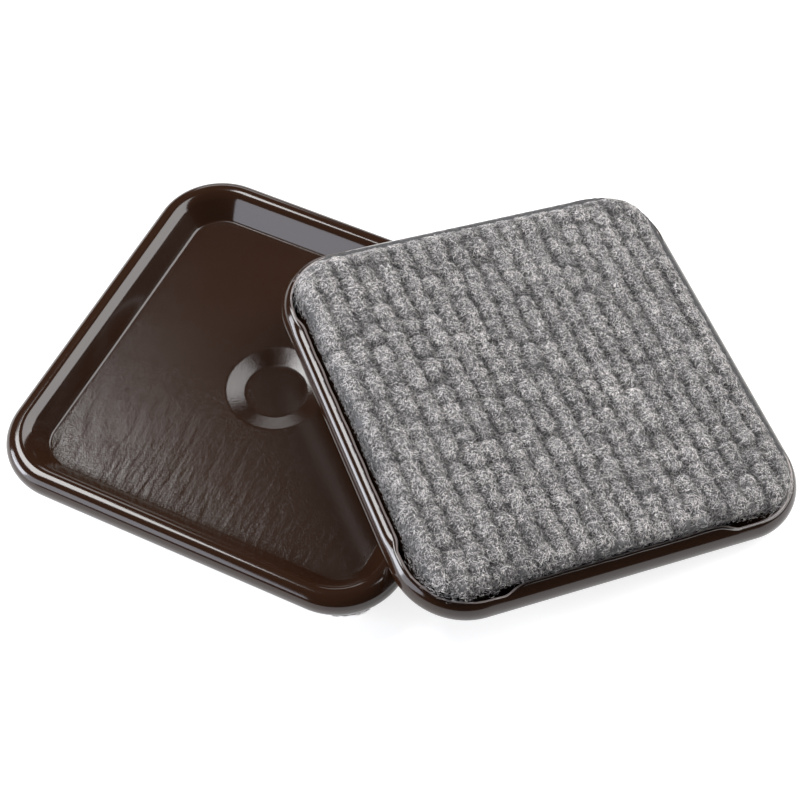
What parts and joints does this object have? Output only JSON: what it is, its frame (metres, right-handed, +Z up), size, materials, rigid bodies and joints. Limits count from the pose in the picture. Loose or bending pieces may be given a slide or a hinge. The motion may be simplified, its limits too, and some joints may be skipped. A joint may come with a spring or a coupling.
{
  "type": "carpet-bottomed furniture cups",
  "caption": "Shallow square furniture cups with a rounded rim, a dimpled floor and a ribbed carpet pad underneath, shown upright and turned over, leaning on each other.",
  "frame": {"origin": "centre of the pair's bounding box in plan, on the surface that the upright cup stands on", "axes": "+Z up; +X and +Y along the upright cup's sides, with the leaning cup towards +X"},
  "size_m": [0.1406, 0.112, 0.0261],
  "materials": {
    "tray_plastic": "dark brown moulded plastic, glossy, with a soft satin haze on the floor",
    "adhesive": "hot-melt film, hidden between tray and carpet",
    "carpet_backing": "bonded fibre base of the carpet pad",
    "carpet_pile": "ribbed needle-punched pile, heathered light and dark grey"
  },
  "bodies": {
    "upright_cup": {"upright_cup_tray": "tray_plastic", "upright_cup_adhesive_film": "adhesive", "upright_cup_carpet_backing": "carpet_backing", "upright_cup_carpet_pile": "carpet_pile"},
    "leaning_cup": {"leaning_cup_tray": "tray_plastic", "leaning_cup_adhesive_film": "adhesive", "leaning_cup_carpet_backing": "carpet_backing", "leaning_cup_carpet_pile": "carpet_pile"}
  },
  "joints": [
    {"name": "leaning_cup_lift", "type": "slide", "parent": "upright_cup", "child": "leaning_cup", "axis": [0, 0, 1], "range_m": [0, 0.04]}
  ]
}
